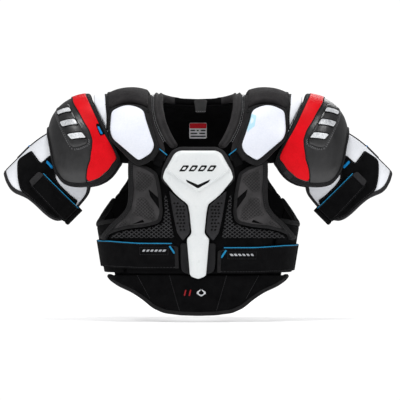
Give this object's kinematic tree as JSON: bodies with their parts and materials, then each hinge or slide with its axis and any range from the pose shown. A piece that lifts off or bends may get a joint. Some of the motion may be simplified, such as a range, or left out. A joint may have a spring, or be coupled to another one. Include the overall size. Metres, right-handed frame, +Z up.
{
  "type": "hockey shoulder pads",
  "caption": "Padded ice-hockey shoulder protector with hinged shoulder caps, upper-arm guards, collarbone pads, sternum guard, chest straps and belly flap",
  "frame": {"origin": "on the symmetry plane, at the level of the wearer's shoulder line, above the middle of the torso", "axes": "+Z up, -Y the wearer's front, +X the wearer's left"},
  "size_m": [0.743, 0.26, 0.4327],
  "materials": {
    "black_foam": "matte woven nylon over foam",
    "black_plastic": "satin moulded plastic",
    "black_fabric": "smooth stretch fabric",
    "black_webbing": "brushed elastic and loop webbing",
    "grey_fabric": "fine square-weave nylon",
    "grey_leather": "soft grained synthetic leather",
    "grey_plastic": "satin moulded foam and plastic",
    "grey_webbing": "woven tape",
    "mesh_fabric": "open hexagonal spacer mesh",
    "white_plastic": "smooth moulded foam shell, satin",
    "white_fabric": "smooth white synthetic leather",
    "label_fabric": "printed satin label",
    "red_panel": "smooth red synthetic leather"
  },
  "bodies": {
    "vest": {"back_collar": "black_foam", "back_liner": "black_foam", "back_panel": "black_foam", "chest_liner": "black_foam", "hang_loop": "grey_webbing", "left_chest_plate": "grey_fabric", "left_collar_roll": "grey_fabric", "left_mesh_panel": "mesh_fabric", "left_rib_wing": "black_foam", "left_scapula_pad": "grey_fabric", "left_shoulder_arch": "white_fabric", "left_shoulder_cover": "grey_fabric", "left_shoulder_cushion": "grey_fabric", "left_shoulder_yoke": "black_foam", "left_sternum_insert": "grey_plastic", "left_strap_anchor": "black_webbing", "left_yoke_strap": "black_webbing", "lower_back_pad": "grey_fabric", "right_chest_plate": "grey_fabric", "right_collar_roll": "grey_fabric", "right_mesh_panel": "mesh_fabric", "right_rib_wing": "black_foam", "right_scapula_pad": "grey_fabric", "right_shoulder_arch": "white_fabric", "right_shoulder_cover": "grey_fabric", "right_shoulder_cushion": "grey_fabric", "right_shoulder_yoke": "black_foam", "right_sternum_insert": "grey_plastic", "right_strap_anchor": "black_webbing", "right_yoke_strap": "black_webbing", "size_label": "label_fabric", "spine_guard": "grey_plastic", "sternum_base": "black_foam", "sternum_channel": "black_plastic", "sternum_plate": "white_plastic"},
    "belly": {"belly_pad": "black_foam"},
    "left_clavicle": {"left_clavicle_base": "black_foam", "left_clavicle_shell": "white_plastic"},
    "left_cap": {"left_cap_shell": "grey_leather", "left_cap_accent": "red_panel", "left_cap_pod": "grey_plastic", "left_cap_liner": "black_foam"},
    "left_bicep": {"left_bicep_guard": "white_fabric", "left_bicep_overlay": "black_fabric", "left_bicep_strap_loop": "black_webbing"},
    "left_bicep_flap": {"left_bicep_strap": "black_webbing"},
    "left_strap": {"left_chest_strap": "black_webbing"},
    "right_clavicle": {"right_clavicle_base": "black_foam", "right_clavicle_shell": "white_plastic"},
    "right_cap": {"right_cap_shell": "grey_leather", "right_cap_accent": "red_panel", "right_cap_pod": "grey_plastic", "right_cap_liner": "black_foam"},
    "right_bicep": {"right_bicep_guard": "white_fabric", "right_bicep_overlay": "black_fabric", "right_bicep_strap_loop": "black_webbing"},
    "right_bicep_flap": {"right_bicep_strap": "black_webbing"},
    "right_strap": {"right_chest_strap": "black_webbing"}
  },
  "joints": [
    {"name": "left_clavicle_lift", "type": "hinge", "parent": "vest", "child": "left_clavicle", "pos_m": [0.128, -0.078, -0.011], "axis": [-1, 0, 0], "range_deg": [0, 30]},
    {"name": "left_cap_raise", "type": "hinge", "parent": "vest", "child": "left_cap", "pos_m": [0.203, 0, 0.006], "axis": [0, -1, 0], "range_deg": [0, 28]},
    {"name": "left_bicep_drop", "type": "hinge", "parent": "left_cap", "child": "left_bicep", "pos_m": [0.19, 0, -0.095], "axis": [0, 1, 0], "range_deg": [0, 12]},
    {"name": "left_bicep_strap_peel", "type": "hinge", "parent": "left_bicep", "child": "left_bicep_flap", "pos_m": [0.24263, -0.0327, -0.21769], "axis": [0.7071, 0, -0.7071], "range_deg": [0, 45]},
    {"name": "left_chest_strap_peel", "type": "hinge", "parent": "vest", "child": "left_strap", "pos_m": [0.184, -0.0345, -0.293], "axis": [0.1599, -0.0166, 0.987], "range_deg": [0, 50]},
    {"name": "right_clavicle_lift", "type": "hinge", "parent": "vest", "child": "right_clavicle", "pos_m": [-0.128, -0.078, -0.011], "axis": [-1, 0, 0], "range_deg": [0, 30]},
    {"name": "right_cap_raise", "type": "hinge", "parent": "vest", "child": "right_cap", "pos_m": [-0.203, 0, 0.006], "axis": [0, 1, 0], "range_deg": [0, 28]},
    {"name": "right_bicep_drop", "type": "hinge", "parent": "right_cap", "child": "right_bicep", "pos_m": [-0.19, 0, -0.095], "axis": [0, -1, 0], "range_deg": [0, 12]},
    {"name": "right_bicep_strap_peel", "type": "hinge", "parent": "right_bicep", "child": "right_bicep_flap", "pos_m": [-0.24263, -0.0327, -0.21769], "axis": [0.7071, 0, 0.7071], "range_deg": [0, 45]},
    {"name": "right_chest_strap_peel", "type": "hinge", "parent": "vest", "child": "right_strap", "pos_m": [-0.184, -0.0345, -0.293], "axis": [0.1599, 0.0166, -0.987], "range_deg": [0, 50]},
    {"name": "belly_swing", "type": "hinge", "parent": "vest", "child": "belly", "pos_m": [0, -0.113, -0.33], "axis": [-1, 0, 0], "range_deg": [0, 24]}
  ]
}
